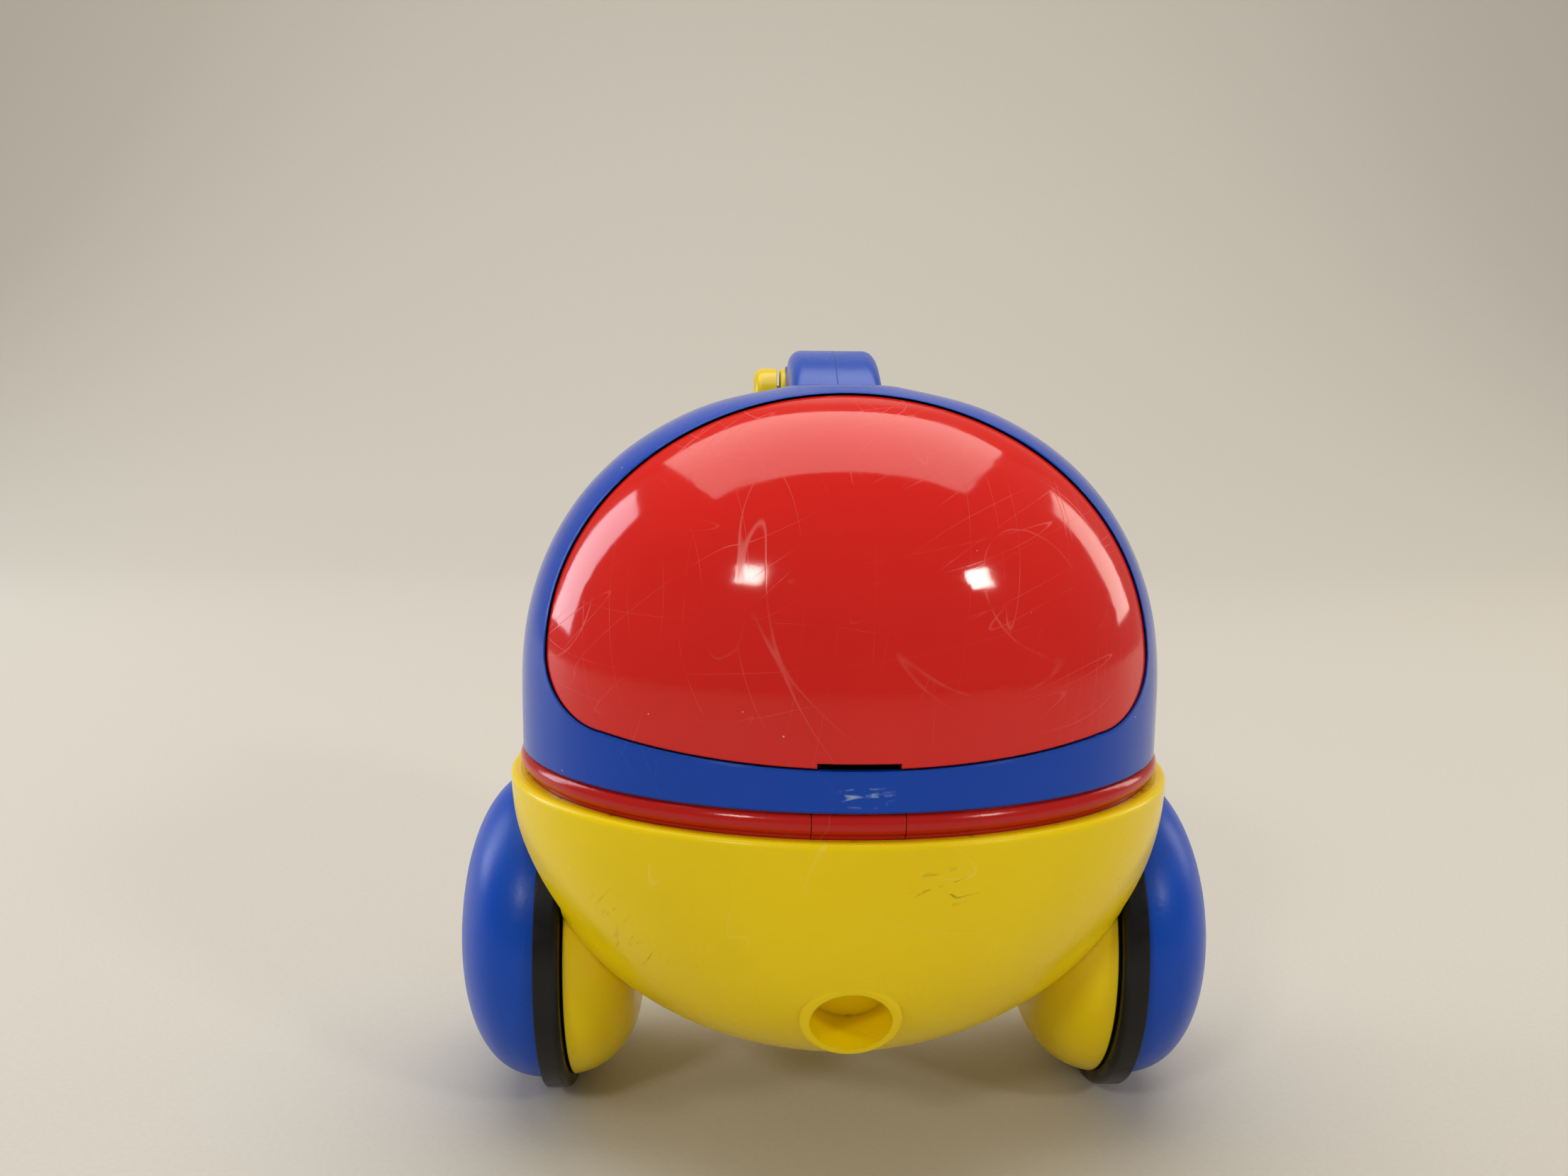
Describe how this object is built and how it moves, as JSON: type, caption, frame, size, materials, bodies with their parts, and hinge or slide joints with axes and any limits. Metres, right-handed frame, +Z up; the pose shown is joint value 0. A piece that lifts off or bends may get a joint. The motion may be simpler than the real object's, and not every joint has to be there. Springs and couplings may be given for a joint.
{
  "type": "push-along toy",
  "caption": "Round push-along toy with a red domed front, blue shell, yellow hull, side wheels and a rear carrying handle.",
  "frame": {"origin": "middle of the whole object's plan, on the floor that its wheels stand on", "axes": "+Z up, -Y is the front with the dome and the nose socket, +X is to the right seen from the front"},
  "size_m": [0.191, 0.1714, 0.1923],
  "materials": {
    "hull_yellow": "gloss moulded, scuffed",
    "trim_red": "gloss moulded",
    "shell_blue": "gloss moulded",
    "dome_red": "gloss moulded, fine scratches",
    "handle_blue": "gloss moulded",
    "wheel_blue": "semi gloss moulded",
    "knob_yellow": "gloss moulded",
    "bush_white": "moulded",
    "tyre_black": "satin",
    "screw_steel": "plain",
    "clip_steel": "plain",
    "axle_steel": "drawn",
    "weight_iron": "as cast"
  },
  "bodies": {
    "body": {"hull": "hull_yellow", "trim_ring": "trim_red", "front_clip": "trim_red", "upper_shell": "shell_blue", "dome": "dome_red", "handle_left": "handle_blue", "handle_right": "handle_blue", "handle_screws": "screw_steel", "foot_screws": "screw_steel", "body_screws": "screw_steel", "knob_base": "knob_yellow", "bush_left": "bush_white", "bush_right": "bush_white", "click_reed": "bush_white", "reed_screw": "screw_steel", "balance_weight": "weight_iron", "weight_screws": "screw_steel"},
    "wheel_set": {"axle": "axle_steel", "wheel_left": "wheel_blue", "wheel_right": "wheel_blue", "wheel_plate_left": "wheel_blue", "wheel_plate_right": "wheel_blue", "tyre_left": "tyre_black", "tyre_right": "tyre_black", "click_wheel": "bush_white"},
    "knob_turn": {"knob": "knob_yellow", "knob_clip": "clip_steel"},
    "caster_swivel": {"caster_fork": "handle_blue", "caster_clip": "clip_steel", "caster_pin": "axle_steel"},
    "caster_wheel_set": {"caster_wheel": "tyre_black"}
  },
  "joints": [
    {"name": "wheels_roll", "type": "hinge", "parent": "body", "child": "wheel_set", "pos_m": [0, -0.0083, 0.0426], "axis": [1, 0, 0], "continuous": true},
    {"name": "knob_spin", "type": "hinge", "parent": "body", "child": "knob_turn", "pos_m": [-0.0145, 0.05566, 0.17502], "axis": [1, 0, 0], "continuous": true},
    {"name": "caster_turn", "type": "hinge", "parent": "body", "child": "caster_swivel", "pos_m": [0, 0.0357, 0.024], "axis": [0, 0, 1], "continuous": true},
    {"name": "caster_roll", "type": "hinge", "parent": "caster_swivel", "child": "caster_wheel_set", "pos_m": [0, 0.0422, 0.0085], "axis": [1, 0, 0], "continuous": true}
  ]
}
